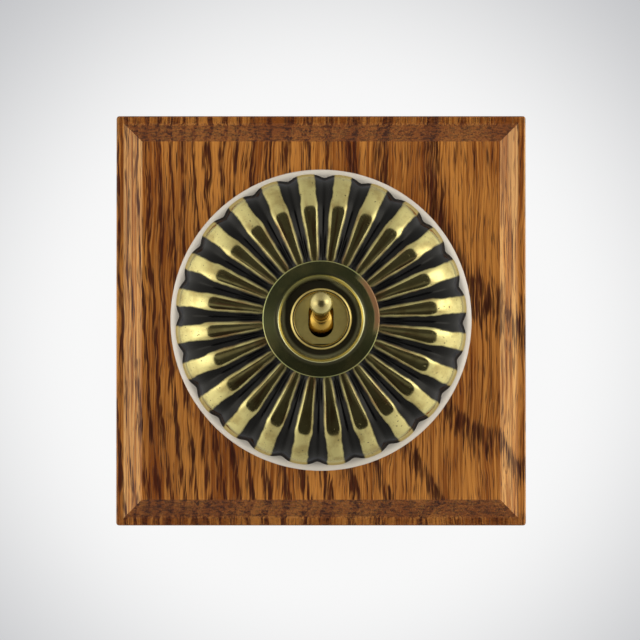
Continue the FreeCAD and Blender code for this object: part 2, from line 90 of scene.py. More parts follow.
# A white light tent with the dark room showing through its open front, lit by softboxes above and at both sides.
studio = {
    "tent": 0.53,            # brightness of the tent
    "tentTint": "#FFFDF6",
    "skyward": 0.04,         # how much brighter it is overhead than below
    "sideways": 1.5,         # how much brighter it is at the two sides than in the middle
    "darkFront": 0.042,      # the room behind the camera, which the flat metal shows
    "darkUpward": 0.02,      # how much paler it is overhead
    "darkSides": (0.15, 0.08),       # how much paler it is at the left and at the right, just below the camera's level
    "darkSidesFrom": (0.06, 0.22),   # this grows between these shares to the side, and fades between these up or down
    "darkSidesRise": (0.03, 0.13),
    "darkSidesDrop": 0.04,
    "darkAim": (3.5, -3.0),  # where the tent's opening lies off the camera's axis, and its half angles, in degrees
    "darkFrom": 35.0,
    "darkTo": 37.5,
    "glow": {-1: (0.85, -0.05), 1: (1.25, 0.22)},    # left and right softbox through the tent: strength and rise
    "glowAngle": 56.0,       # degrees from the camera's axis, and how far they reach round that
    "glowReach": 40.0,
    "glowFlat": (0.10, 0.45),        # they fade out between these distances above or below
    "lamps": {               # what the same softboxes give to matt surfaces: place in metres, size, watts
        "topSoftbox": ((0.0, -0.45, 0.70), (0.60, 0.40), 0.9),
        "leftSoftbox": ((-0.60, -0.26, 0.08), (0.40, 0.60), 1.4),
        "rightSoftbox": ((0.60, -0.26, 0.08), (0.40, 0.60), 1.4),
    },
    "paperMid": "#F8F8F8",
    "paperEdge": "#BFC0C3",
    "paperRough": 0.9,
    "backdropSize": 6.0,     # metres
    "backdropAway": 2.2,
    "backdropFade": (230, 540),      # mm from its middle over which the paper darkens, a painted falloff of the light
    "floorSize": 8.0,
    "floorDrop": 0.34,
    "floorFade": (4000, 9000),
}

world = bpy.data.worlds.new("lightTent")
bpy.context.scene.world = world
world.use_nodes = True
world.node_tree.nodes.clear()
add = partial(addNode, world.node_tree)
look = add("ShaderNodeTexCoord").outputs["Generated"]
opening = [math.tan(math.radians(turn)) for turn in studio["darkAim"]]
toFront = add("ShaderNodeVectorMath", {
    0: look, 1: Vector((opening[0], -1, opening[1])).normalized(),
}, operation="DOT_PRODUCT")
dark = add("ShaderNodeMapRange", {
    "Value": toFront,
    "From Min": math.cos(math.radians(studio["darkTo"])),
    "From Max": math.cos(math.radians(studio["darkFrom"])),
}, interpolation_type="SMOOTHSTEP")
upward = add("ShaderNodeVectorMath", {0: look, 1: (0, 0, 1)}, operation="DOT_PRODUCT")
bright = add("ShaderNodeMath", {
    0: upward, 1: studio["tent"] * studio["skyward"], 2: studio["tent"],
}, operation="MULTIPLY_ADD")
across = add("ShaderNodeVectorMath", {0: look, 1: (1, 0, 0)}, operation="DOT_PRODUCT")
aside = add("ShaderNodeMath", {0: across, 1: 2.0}, operation="POWER")
bright = add("ShaderNodeMath", {0: aside, 1: studio["tent"] * studio["sideways"], 2: bright}, operation="MULTIPLY_ADD")
for side, (power, rise) in studio["glow"].items():
    above = add("ShaderNodeMath", {0: upward, 1: rise}, operation="SUBTRACT")
    apart = add("ShaderNodeMath", {0: above}, operation="ABSOLUTE")
    flatness = add("ShaderNodeMapRange", {
        "Value": apart, "From Min": studio["glowFlat"][0], "From Max": studio["glowFlat"][1],
        "To Min": power, "To Max": 0.0,
    }, interpolation_type="SMOOTHSTEP")
    angle = math.radians(studio["glowAngle"])
    toBox = Vector((side * math.sin(angle), -math.cos(angle), rise)).normalized()
    facing = add("ShaderNodeVectorMath", {0: look, 1: toBox}, operation="DOT_PRODUCT")
    near = add("ShaderNodeMapRange", {
        "Value": facing, "From Min": math.cos(math.radians(studio["glowReach"])), "From Max": 1.0,
    }, interpolation_type="SMOOTHSTEP")
    soft = add("ShaderNodeMath", {0: near, 1: 2.0}, operation="POWER")
    bright = add("ShaderNodeMath", {0: soft, 1: flatness, 2: bright}, operation="MULTIPLY_ADD")
sideways = add("ShaderNodeMath", {0: across}, operation="ABSOLUTE")
begun = add("ShaderNodeMapRange", {
    "Value": sideways, "From Min": studio["darkSidesFrom"][0], "From Max": studio["darkSidesFrom"][1],
}, interpolation_type="SMOOTHSTEP")
lifted = add("ShaderNodeMath", {0: upward, 1: studio["darkSidesDrop"]}, operation="ADD")
offLevel = add("ShaderNodeMath", {0: lifted}, operation="ABSOLUTE")
level = add("ShaderNodeMapRange", {
    "Value": offLevel, "From Min": studio["darkSidesRise"][0], "From Max": studio["darkSidesRise"][1],
    "To Min": 1.0, "To Max": 0.0,
}, interpolation_type="SMOOTHSTEP")
paler = add("ShaderNodeMath", {0: begun, 1: level}, operation="MULTIPLY")
reach = studio["darkSidesFrom"][1]
amount = add("ShaderNodeMapRange", {
    "Value": across, "From Min": -reach, "From Max": reach,
    "To Min": studio["darkSides"][0], "To Max": studio["darkSides"][1],
})
room = add("ShaderNodeMath", {0: paler, 1: amount, 2: studio["darkFront"]}, operation="MULTIPLY_ADD")
room = add("ShaderNodeMath", {0: upward, 1: studio["darkUpward"], 2: room}, operation="MULTIPLY_ADD")
strength = add("ShaderNodeMix", {"Factor": dark, "A": bright, "B": room}, data_type="FLOAT")
lit = add("ShaderNodeBackground", {"Color": linear(studio["tentTint"]), "Strength": strength})
pale = add("ShaderNodeBackground", {"Color": linear(studio["paperMid"]), "Strength": 1.0})
ray = add("ShaderNodeLightPath")
seen = add("ShaderNodeMixShader", {0: ray.outputs["Is Camera Ray"], 1: lit, 2: pale})
add("ShaderNodeOutputWorld", {"Surface": seen})


def stagePlane(name, size, location, rotation):
    half = size / 2
    mesh = bpy.data.meshes.new(name)
    mesh.from_pydata([(-half, -half, 0), (half, -half, 0), (half, half, 0), (-half, half, 0)], [], [(0, 1, 2, 3)])
    plane = bpy.data.objects.new(name, mesh)
    plane.location = location
    plane.rotation_euler = rotation
    bpy.context.scene.collection.objects.link(plane)
    return plane


def paperMaterial(name, reach, shining):
    # matt studio paper with a painted pool of light, paler in the middle and darker towards its edge; where it shines,
    # every look at it shows it evenly pale
    material, add, link, shader, place = startMaterial(name)
    away = add("ShaderNodeVectorMath", {0: place}, operation="LENGTH")
    fade = add("ShaderNodeMapRange", {
        "Value": away, "From Min": reach[0], "From Max": reach[1],
    }, interpolation_type="SMOOTHSTEP")
    tone = add("ShaderNodeMix", {
        "Factor": fade, "A": linear(studio["paperMid"]), "B": linear(studio["paperEdge"]),
    }, data_type="RGBA").outputs["Result"]
    link(tone, shader.inputs["Base Color"])
    shader.inputs["Roughness"].default_value = studio["paperRough"]
    if shining:
        shine = add("ShaderNodeEmission", {"Color": tone, "Strength": 1.0})
        ray = add("ShaderNodeLightPath")
        mirrored = add("ShaderNodeMath", {
            0: ray.outputs["Is Camera Ray"], 1: ray.outputs["Is Glossy Ray"],
        }, operation="MAXIMUM")
        shown = add("ShaderNodeMath", {0: mirrored, 1: ray.outputs["Is Transmission Ray"]}, operation="MAXIMUM")
        seen = add("ShaderNodeMixShader", {0: shown, 1: shader, 2: shine})
        add("ShaderNodeOutputMaterial", {"Surface": seen}).is_active_output = True
    return material


backdrop = stagePlane("backdrop", studio["backdropSize"], (0, studio["backdropAway"], 0), (math.pi / 2, 0, 0))
backdrop.data.materials.append(paperMaterial("studioPaper", studio["backdropFade"], True))
floor = stagePlane("floor", studio["floorSize"], (0, 0, -studio["floorDrop"]), (0, 0, 0))
floor.data.materials.append(paperMaterial("floorPaper", studio["floorFade"], False))
floor.visible_glossy = False     # else the metal would show the floor where the photo shows the dark room

for name, (spot, size, watts) in studio["lamps"].items():
    lamp = bpy.data.lights.new(name, "AREA")
    lamp.shape = "RECTANGLE"
    lamp.size, lamp.size_y = size
    lamp.energy = watts
    softbox = bpy.data.objects.new(name, lamp)
    softbox.location = spot
    softbox.rotation_euler = (-softbox.location).to_track_quat("-Z", "Y").to_euler()
    softbox.visible_glossy = False       # the metal shows the tent's own softboxes
    bpy.context.scene.collection.objects.link(softbox)

cameraView = {
    "away": 0.700,           # metres from the wall
    "lens": 161.3,           # mm, on a sensor of the width below
    "sensor": 36.0,
    "below": 0.008,          # the camera stands a little below the switch's middle
    "aim": (-0.25 * mm, -14 * mm, 0.155 * mm),
}
lensData = bpy.data.cameras.new("camera")
lensData.lens = cameraView["lens"]
lensData.sensor_width = cameraView["sensor"]
camera = bpy.data.objects.new("camera", lensData)
camera.location = (0, -cameraView["away"], -cameraView["below"])
camera.rotation_euler = (Vector(cameraView["aim"]) - camera.location).to_track_quat("-Z", "Y").to_euler()
bpy.context.scene.collection.objects.link(camera)
bpy.context.scene.camera = camera
bpy.context.scene.view_settings.view_transform = "Standard"
print("studio ready")

# Flat-sawn oak, planed, stained and waxed: the early wood of each ring takes the stain as clusters of dark dashes,
# the late wood stays golden with fine pores, and the end grain goes dark.
oak = {
    "gold": "#BE7E3B",
    "brown": "#80471D",
    "dark": "#42190A",
    "pore": "#2C1005",
    "pale": "#E2AE6A",       # painted light: the side chamfers are made paler, standing in for the side light that falls on them; the end grain soaks the stain up
    "endGrain": "#6B3812",
    "heart": (41.0, -0.9),   # where the log's heart runs: x, and y with the wall's face at 0, in mm
    "heartLean": 0.36,       # how it leans back on the way down, which draws the flame at the right
    "ringRate": 0.0023,      # rings = rate x distance from the heart ^ spread + start
    "ringSpread": 2.0,
    "ringStart": 0.55,
    "wave": (4.0, 18.0, 40.0),       # sideways wander of the grain: how far, and how long across and along, in mm
    "ripple": (1.7, 4.5, 13.0),
    "dash": (0.60, 7.0),     # mm wide and long
    "vessel": (0.26, 7.0),   # real vessels are a third of this width; drawn coarser so that they show
    "fibre": (0.42, 26.0),
    "cloud": (9.0, 50.0),
    "line": (0.30, 30.0),    # long straight lines, which show where the dashes are few
    "stripe": (0.8, 70.0),   # of the side chamfers
    "speck": (1.3, 0.50),    # of the end grain
    "plainFrom": (0.0, 25.0),        # mm from the middle over which the grain grows plainer to the right
    "bandLeft": (0.15, 0.60),        # the early wood's share of a ring: full to the first, gone at the second
    "bandRight": (0.04, 0.34),
    "ringEdge": 0.88,        # share of a ring at which the next early wood starts
    "shadeFrom": (0.80, 1.20),       # from gold to brown, on the sum of two patterns
    "chamferFrom": (0.15, 0.40),     # slant of a face from which it counts as a side chamfer
    "chamferPlain": 0.07,    # how much fewer dashes it has
    "stripeFrom": (0.36, 0.62),
    "stripePale": 0.62,
    "weights": {             # at the left and at the right: what early wood adds to the marks, and how far lines show
        "dash": (0.20, 0.15),
        "vessel": (0.08, 0.18),
        "line": (0.35, 1.0),
    },
    "marks": {               # pattern level where each starts and is full, and how far it darkens
        "dash": (0.54, 0.76, 0.95),
        "vessel": (0.60, 0.70, 0.75),
        "line": (0.57, 0.67, 0.75),
        "speck": (0.46, 0.58, 0.90),
    },
    "endFacing": (0.15, 0.70, 0.75),         # slant of a face where soaking starts and is full, and how far it goes
    "endEdge": (45.5, 47.0, 0.35),           # darker towards the top and bottom edges: where this starts and is full, by mm above or below the middle, and how far it goes
    "gloss": (0.26, 0.36),   # roughness of the waxed face and of its open pores
    "specular": 0.2,
    "fibreRelief": 0.25,     # depth of the fibres, counted in depths of a pore
    "relief": 0.10,          # mm
}


def makeOak():
    material, add, link, shader, place = startMaterial("stainedOakWaxed")
    paths = [place]
    for reach, wide, long in (oak["wave"], oak["ripple"]):
        size = add("ShaderNodeVectorMath", {0: place, 1: (1 / wide, 1 / wide, 1 / long)}, operation="MULTIPLY")
        noise = add("ShaderNodeTexNoise", {"Vector": size, "Scale": 1.0, "Detail": 2.0})
        shift = add("ShaderNodeMath", {0: noise, 1: reach, 2: -reach / 2}, operation="MULTIPLY_ADD")
        side = add("ShaderNodeCombineXYZ", {"X": shift})
        paths.append(add("ShaderNodeVectorMath", {0: paths[-1], 1: side}, operation="ADD"))
    swept, bent = paths[1:]
    axis = add("ShaderNodeSeparateXYZ", {0: place})
    plain = add("ShaderNodeMapRange", {
        "Value": axis.outputs["X"], "From Min": oak["plainFrom"][0], "From Max": oak["plainFrom"][1],
    })

    log = add("ShaderNodeMapping", {
        "Vector": bent,
        "Location": (-oak["heart"][0], -oak["heart"][1], 0),
        "Rotation": (-math.atan(oak["heartLean"]), 0, 0),
    })
    level = add("ShaderNodeVectorMath", {0: log, 1: (1, 1, 0)}, operation="MULTIPLY")
    fromHeart = add("ShaderNodeVectorMath", {0: level}, operation="LENGTH")
    grown = add("ShaderNodeMath", {0: fromHeart, 1: oak["ringSpread"]}, operation="POWER")
    rings = add("ShaderNodeMath", {0: grown, 1: oak["ringRate"], 2: oak["ringStart"]}, operation="MULTIPLY_ADD")
    ring = add("ShaderNodeMath", {0: rings}, operation="FRACT")
    band = [add("ShaderNodeMapRange", {"Value": plain, "To Min": left, "To Max": right})
            for left, right in zip(oak["bandLeft"], oak["bandRight"])]
    fading = add("ShaderNodeMapRange", {
        "Value": ring, "From Min": band[0], "From Max": band[1], "To Min": 1.0, "To Max": 0.0,
    }, interpolation_type="SMOOTHSTEP")
    starting = add("ShaderNodeMapRange", {
        "Value": ring, "From Min": oak["ringEdge"], "From Max": 1.0,
    }, interpolation_type="SMOOTHSTEP")
    early = add("ShaderNodeMath", {0: fading, 1: starting}, operation="MAXIMUM")

    streaks = {}
    for name, course, detail in (
        ("dash", bent, 2.0), ("vessel", bent, 1.0), ("fibre", bent, 3.0), ("cloud", bent, 2.0),
        ("line", swept, 1.0), ("stripe", swept, 1.0), ("speck", place, 1.0),
    ):
        wide, long = oak[name]
        size = add("ShaderNodeVectorMath", {0: course, 1: (1 / wide, 1 / wide, 1 / long)}, operation="MULTIPLY")
        streaks[name] = add("ShaderNodeTexNoise", {"Vector": size, "Scale": 1.0, "Detail": detail})

    warmth = add("ShaderNodeMath", {0: streaks["fibre"], 1: streaks["cloud"]}, operation="ADD")
    shade = add("ShaderNodeMapRange", {
        "Value": warmth, "From Min": oak["shadeFrom"][0], "From Max": oak["shadeFrom"][1],
    }, interpolation_type="SMOOTHSTEP")
    stained = add("ShaderNodeMix", {
        "Factor": shade, "A": linear(oak["gold"]), "B": linear(oak["brown"]),
    }, data_type="RGBA")
    surface = add("ShaderNodeNewGeometry")
    facing = add("ShaderNodeSeparateXYZ", {0: surface.outputs["Normal"]})
    slant = add("ShaderNodeMath", {0: facing.outputs["X"], 1: facing.outputs["Y"]}, operation="MULTIPLY")
    sideOn = add("ShaderNodeMath", {0: slant}, operation="ABSOLUTE")
    sideChamfer = add("ShaderNodeMapRange", {
        "Value": sideOn, "From Min": oak["chamferFrom"][0], "From Max": oak["chamferFrom"][1],
    })
    stripe = add("ShaderNodeMapRange", {
        "Value": streaks["stripe"], "From Min": oak["stripeFrom"][0], "From Max": oak["stripeFrom"][1],
        "To Min": oak["stripePale"], "To Max": 0.0,
    })
    # painted light: the side chamfers get a paler ground, broken by grain stripes, standing in for the side light that
    # falls on them
    paintedSideLight = add("ShaderNodeMath", {0: sideChamfer, 1: stripe}, operation="MULTIPLY")
    ground = add("ShaderNodeMix", {"Factor": paintedSideLight, "A": stained, "B": linear(oak["pale"])}, data_type="RGBA")
    weights = {name: add("ShaderNodeMapRange", {"Value": plain, "To Min": left, "To Max": right})
               for name, (left, right) in oak["weights"].items()}
    rawDash = add("ShaderNodeMath", {0: early, 1: weights["dash"], 2: streaks["dash"]}, operation="MULTIPLY_ADD")
    levels = {
        "dash": add("ShaderNodeMath", {0: sideChamfer, 1: -oak["chamferPlain"], 2: rawDash}, operation="MULTIPLY_ADD"),
        "vessel": add("ShaderNodeMath", {
            0: early, 1: weights["vessel"], 2: streaks["vessel"],
        }, operation="MULTIPLY_ADD"),
        "line": streaks["line"],
        "speck": streaks["speck"],
    }
    marks = {name: add("ShaderNodeMapRange", {
        "Value": levels[name], "From Min": low, "From Max": full, "To Max": most,
    }, interpolation_type="SMOOTHSTEP") for name, (low, full, most) in oak["marks"].items()}
    lined = add("ShaderNodeMath", {0: marks["line"], 1: weights["line"]}, operation="MULTIPLY")
    drawn = add("ShaderNodeMix", {"Factor": lined, "A": ground, "B": linear(oak["dark"])}, data_type="RGBA")
    dashed = add("ShaderNodeMix", {"Factor": marks["dash"], "A": drawn, "B": linear(oak["dark"])}, data_type="RGBA")
    pored = add("ShaderNodeMix", {"Factor": marks["vessel"], "A": dashed, "B": linear(oak["pore"])}, data_type="RGBA")
    endOn = add("ShaderNodeMath", {0: facing.outputs["Z"]}, operation="ABSOLUTE")
    offMiddle = add("ShaderNodeMath", {0: axis.outputs["Z"]}, operation="ABSOLUTE")
    end, edge = [add("ShaderNodeMapRange", {"Value": value, "From Min": low, "From Max": full, "To Max": most})
                 for value, (low, full, most) in ((endOn, oak["endFacing"]), (offMiddle, oak["endEdge"]))]
    endDarkening = add("ShaderNodeMath", {0: end, 1: edge}, operation="MAXIMUM")
    endTone = add("ShaderNodeMix", {
        "Factor": marks["speck"], "A": linear(oak["endGrain"]), "B": linear(oak["pore"]),
    }, data_type="RGBA")
    final = add("ShaderNodeMix", {"Factor": endDarkening, "A": pored, "B": endTone}, data_type="RGBA")
    link(final.outputs["Result"], shader.inputs["Base Color"])

    hollow = add("ShaderNodeMath", {0: marks["dash"], 1: marks["vessel"]}, operation="ADD")
    shader.inputs["Specular IOR Level"].default_value = oak["specular"]
    rough = add("ShaderNodeMapRange", {"Value": hollow, "To Min": oak["gloss"][0], "To Max": oak["gloss"][1]})
    link(rough.outputs[0], shader.inputs["Roughness"])
    sunk = add("ShaderNodeMath", {0: marks["vessel"], 1: -1.0}, operation="MULTIPLY")
    height = add("ShaderNodeMath", {0: streaks["fibre"], 1: oak["fibreRelief"], 2: sunk}, operation="MULTIPLY_ADD")
    relief = add("ShaderNodeBump", {"Height": height, "Distance": oak["relief"] * mm, "Strength": 0.4})
    link(relief.outputs[0], shader.inputs["Normal"])
    return material


dress(makeOak(), "oak_pattress")
print("oak block dressed")

# Hard white porcelain under a fired clear glaze: bright and glossy, faintly uneven where the glaze pooled.
porcelain = {
    "white": "#D3CBBF",
    "pooled": "#C6BEB2",
    "gloss": (0.084, 0.18),  # roughness of the white and of the pooled glaze
    "wave": 7.0,             # mm across a pool of glaze
    "ripple": 0.25,          # mm
}


def makePorcelain():
    material, add, link, shader, place = startMaterial("glazedPorcelain")
    pool = add("ShaderNodeTexNoise", {"Vector": place, "Scale": 1 / porcelain["wave"], "Detail": 3.0})
    tone = add("ShaderNodeMix", {
        "Factor": pool, "A": linear(porcelain["white"]), "B": linear(porcelain["pooled"]),
    }, data_type="RGBA")
    link(tone.outputs["Result"], shader.inputs["Base Color"])
    rough = add("ShaderNodeMapRange", {
        "Value": pool, "To Min": porcelain["gloss"][0], "To Max": porcelain["gloss"][1],
    })
    link(rough.outputs[0], shader.inputs["Roughness"])
    ripple = add("ShaderNodeBump", {"Height": pool, "Distance": porcelain["ripple"] * mm, "Strength": 0.3})
    link(ripple.outputs[0], shader.inputs["Normal"])
    return material


dress(makePorcelain(), "porcelain_base")
print("porcelain dressed")

# Turned brass, polished and left to tarnish: a greenish-yellow mirror with brown bloom and fine turning lines.
brass = {
    "bright": "#DACE8B",
    "tarnish": "#A08A52",
    "gold": "#CDB974",
    "amber": "#9C844C",
    "ball": "#D5C98C",
    "satin": "#CEBE76",
    "warmBounce": "#C09638",       # painted reflection: the dolly's shank is tinted more golden than its ball, standing in for warm light bounced inside the slot
    "warmBounceFrom": (53.5, 50.5),        # mm out from the wall
    "warmBounceMost": 0.85,
    "bloomSize": 4.0,        # mm across a patch of tarnish
    "bloomFrom": (0.40, 0.68),       # pattern level where it starts and is full
    "bloomDull": 0.14,       # what the tarnish and the turning lines add to the roughness
    "turningDull": 0.06,
    "turning": 0.22,         # mm between turning lines, coarser than real so that they show
    "turningDepth": 0.004,   # mm
}


def makeMetal(name, bright, tarnish, rough, bloom, warmBounce=None):
    material, add, link, shader, place = startMaterial(name)
    patch = add("ShaderNodeTexNoise", {"Vector": place, "Scale": 1 / brass["bloomSize"], "Detail": 5.0})
    amount = add("ShaderNodeMapRange", {
        "Value": patch, "From Min": brass["bloomFrom"][0], "From Max": brass["bloomFrom"][1], "To Max": bloom,
    }, interpolation_type="SMOOTHSTEP")
    tone = add("ShaderNodeMix", {"Factor": amount, "A": linear(bright), "B": linear(tarnish)}, data_type="RGBA")
    # painted reflection: towards the wall the colour turns golden, standing in for warm light bounced inside the slot
    if warmBounce:
        axis = add("ShaderNodeSeparateXYZ", {0: place})
        deep = add("ShaderNodeMapRange", {
            "Value": axis.outputs["Y"], "From Min": -brass["warmBounceFrom"][0], "From Max": -brass["warmBounceFrom"][1],
            "To Max": brass["warmBounceMost"],
        })
        tone = add("ShaderNodeMix", {"Factor": deep, "A": tone, "B": linear(warmBounce)}, data_type="RGBA")
    link(tone.outputs["Result"], shader.inputs["Base Color"])
    shader.inputs["Metallic"].default_value = 1.0
    flat = add("ShaderNodeVectorMath", {0: place, 1: (1, 0, 1)}, operation="MULTIPLY")
    radius = add("ShaderNodeVectorMath", {0: flat}, operation="LENGTH")
    lineAt = add("ShaderNodeCombineXYZ", {"X": radius})
    lines = add("ShaderNodeTexNoise", {"Vector": lineAt, "Scale": 1 / brass["turning"], "Detail": 2.0})
    dull = add("ShaderNodeMath", {0: amount, 1: brass["bloomDull"], 2: rough}, operation="MULTIPLY_ADD")
    dull = add("ShaderNodeMath", {0: lines, 1: brass["turningDull"], 2: dull}, operation="MULTIPLY_ADD")
    link(dull.outputs[0], shader.inputs["Roughness"])
    relief = add("ShaderNodeBump", {"Height": lines, "Distance": brass["turningDepth"] * mm, "Strength": 0.5})
    link(relief.outputs[0], shader.inputs["Normal"])
    return material


buffedBrass = makeMetal("turnedBrassBuffed", brass["ball"], brass["tarnish"], rough=0.19, bloom=0.6, warmBounce=brass["warmBounce"])
goldenBrass = makeMetal("turnedBrassGolden", brass["gold"], brass["amber"], rough=0.12, bloom=0.6)
satinBrass = makeMetal("stampedBrassSatin", brass["satin"], brass["tarnish"], rough=0.44, bloom=0.5)
dress(buffedBrass, "dolly")
dress(goldenBrass, "neck_bush")
dress(satinBrass, "slot_plate")

# The collar is blackened like the dome and rubbed back: a bright nose and rim, a dull olive face, and painted shade in
# its recess and on the nose towards the upper left.
collar = {
    "face": "#979B68",
    "nose": "#D6D2A0",
    "red": "#8A5B40",        # reddish patch on the rim towards the right
    "redWay": (0.95, 0.30),
    "redSide": (0.80, 0.95),
    "redFrom": 12.0,         # mm from the axis, and how gradually it starts
    "redFade": 0.4,
    "redMost": 0.85,
    "redMatt": 0.8,
    "paintedShadeDeep": 0.9,         # mm by which the painted shade of the recess reaches out further where the nose is in painted shade
    # painted shade: a dark colour that is not metal, inside the recess round the bush, standing in for its shadow
    "recessShade": "#29261A",
    "wellTo": 8.75,          # mm from the axis: painted shade inside, bright from there to the nose's end, dull beyond
    "wellBlur": 0.75,
    "noseTo": 10.3,
    "noseFade": 0.6,
    "rimFrom": 13.15,
    "rimFade": 0.2,
    "rimRubbed": 0.2,
    "wander": 0.5,           # mm by which these edges wander
    "paintedShadeWay": (-0.45, 0.90),        # painted shade: the nose is darkened most towards the upper left, standing in for the weaker light it reflects there
    "paintedShadeFrom": (0.55, 0.95),
    "rubbed": 0.05,          # how much of the nose's bright colour is left there under the painted shade
    "brownFrom": (0.42, 0.70),
    "brownMost": 0.35,
    "brownDull": 0.2,
    "gloss": (0.19, 0.13),   # roughness of the face and of what is rubbed back
    "specular": 0.25,
    "relief": 0.03,          # mm
}


def makeCollar():
    material, add, link, shader, place = startMaterial("turnedBrassBlackenedAndRubbed")
    flat = add("ShaderNodeVectorMath", {0: place, 1: (1, 0, 1)}, operation="MULTIPLY")
    radius = add("ShaderNodeVectorMath", {0: flat}, operation="LENGTH")
    patch = add("ShaderNodeTexNoise", {"Vector": place, "Scale": 1 / brass["bloomSize"], "Detail": 5.0})
    wander = add("ShaderNodeMath", {0: patch, 1: collar["wander"], 2: -collar["wander"] / 2}, operation="MULTIPLY_ADD")
    at = add("ShaderNodeMath", {0: radius, 1: wander}, operation="ADD")
    onNose = add("ShaderNodeMapRange", {
        "Value": at, "From Min": collar["noseTo"], "From Max": collar["noseTo"] + collar["noseFade"],
        "To Min": 1.0, "To Max": 0.0,
    }, interpolation_type="SMOOTHSTEP")
    onRim = add("ShaderNodeMapRange", {
        "Value": at, "From Min": collar["rimFrom"], "From Max": collar["rimFrom"] + collar["rimFade"],
        "To Max": collar["rimRubbed"],
    }, interpolation_type="SMOOTHSTEP")
    aim = add("ShaderNodeVectorMath", {0: flat}, operation="NORMALIZE")
    upLeft, rightward = [add("ShaderNodeVectorMath", {0: aim, 1: (way[0], 0, way[1])}, operation="DOT_PRODUCT")
                         for way in (collar["paintedShadeWay"], collar["redWay"])]
    # painted shade: 1 elsewhere, falling towards the upper left, where the nose is darkened
    dulled = add("ShaderNodeMapRange", {
        "Value": upLeft, "From Min": collar["paintedShadeFrom"][0], "From Max": collar["paintedShadeFrom"][1],
        "To Min": 1.0, "To Max": collar["rubbed"],
    }, interpolation_type="SMOOTHSTEP")
    nose = add("ShaderNodeMath", {0: onNose, 1: dulled}, operation="MULTIPLY")
    rubbed = add("ShaderNodeMath", {0: nose, 1: onRim}, operation="MAXIMUM")
    brown = add("ShaderNodeMapRange", {
        "Value": patch, "From Min": collar["brownFrom"][0], "From Max": collar["brownFrom"][1],
        "To Max": collar["brownMost"],
    })
    face = add("ShaderNodeMix", {
        "Factor": brown, "A": linear(collar["face"]), "B": linear(brass["tarnish"]),
    }, data_type="RGBA")
    redSide = add("ShaderNodeMapRange", {
        "Value": rightward, "From Min": collar["redSide"][0], "From Max": collar["redSide"][1],
    }, interpolation_type="SMOOTHSTEP")
    redRim = add("ShaderNodeMapRange", {
        "Value": at, "From Min": collar["redFrom"], "From Max": collar["redFrom"] + collar["redFade"],
        "To Max": collar["redMost"],
    }, interpolation_type="SMOOTHSTEP")
    red = add("ShaderNodeMath", {0: redSide, 1: redRim}, operation="MULTIPLY")
    rubbedBack = add("ShaderNodeMix", {"Factor": rubbed, "A": face, "B": linear(collar["nose"])}, data_type="RGBA")
    metal = add("ShaderNodeMix", {"Factor": red, "A": rubbedBack, "B": linear(collar["red"])}, data_type="RGBA")
    # painted shade: inside the recess the collar is dark and not metal; towards the upper left this reaches further out
    # over the nose
    outward = add("ShaderNodeMath", {0: dulled, 1: collar["paintedShadeDeep"], 2: radius}, operation="MULTIPLY_ADD")
    clear = collar["wellTo"] + collar["paintedShadeDeep"]
    outOfRecessShade = add("ShaderNodeMapRange", {
        "Value": outward, "From Min": clear - collar["wellBlur"], "From Max": clear + collar["wellBlur"],
    }, interpolation_type="SMOOTHSTEP")
    tone = add("ShaderNodeMix", {"Factor": outOfRecessShade, "A": linear(collar["recessShade"]), "B": metal}, data_type="RGBA")
    link(tone.outputs["Result"], shader.inputs["Base Color"])
    bare = add("ShaderNodeMath", {0: red, 1: -collar["redMatt"], 2: 1.0}, operation="MULTIPLY_ADD")
    shiny = add("ShaderNodeMath", {0: outOfRecessShade, 1: bare}, operation="MULTIPLY")
    link(shiny.outputs[0], shader.inputs["Metallic"])
    shader.inputs["Specular IOR Level"].default_value = collar["specular"]
    rough = add("ShaderNodeMapRange", {"Value": rubbed, "To Min": collar["gloss"][0], "To Max": collar["gloss"][1]})
    dull = add("ShaderNodeMath", {0: brown, 1: collar["brownDull"], 2: rough}, operation="MULTIPLY_ADD")
    link(dull.outputs[0], shader.inputs["Roughness"])
    relief = add("ShaderNodeBump", {"Height": patch, "Distance": collar["relief"] * mm, "Strength": 0.3})
    link(relief.outputs[0], shader.inputs["Normal"])
    return material


dress(makeCollar(), "collar_ring")
print("turned brass dressed")

# The dome's own skin, on the same curves as the solid, with rows close enough for clean reflections.
dome = {
    "ribs": 24,
    "phase": 6.1,            # degrees from +X to the first rib, seen from the front
    "radius": 34.2,
    "top": 45.0,
    "foot": 26.0,
    "wall": 0.8,
    "fluteDepth": 0.95,
    "ribFlatness": 3.0,      # 2 is a round rib, more is a flatter crest with steeper flanks
    "valleyRoundness": 6.0,  # less is a wider round in the valleys
    "landRadius": 11.0,
    "holeRadius": 8.95,
    "crownDrop": 1.45,
    "crestLandTilt": 3.0,
    "valleyLandTilt": 22.0,
    "crownTilt": 9.0,
    "shoulderRadius": 10.5,
    "skirtTilt": 88.0,
    "outerRows": (34, 40, 10),
    "innerRows": (8, 10, 2),
    "acrossRib": 16,
    "crispAngle": 60.0,      # degrees from which an edge stays sharp
}


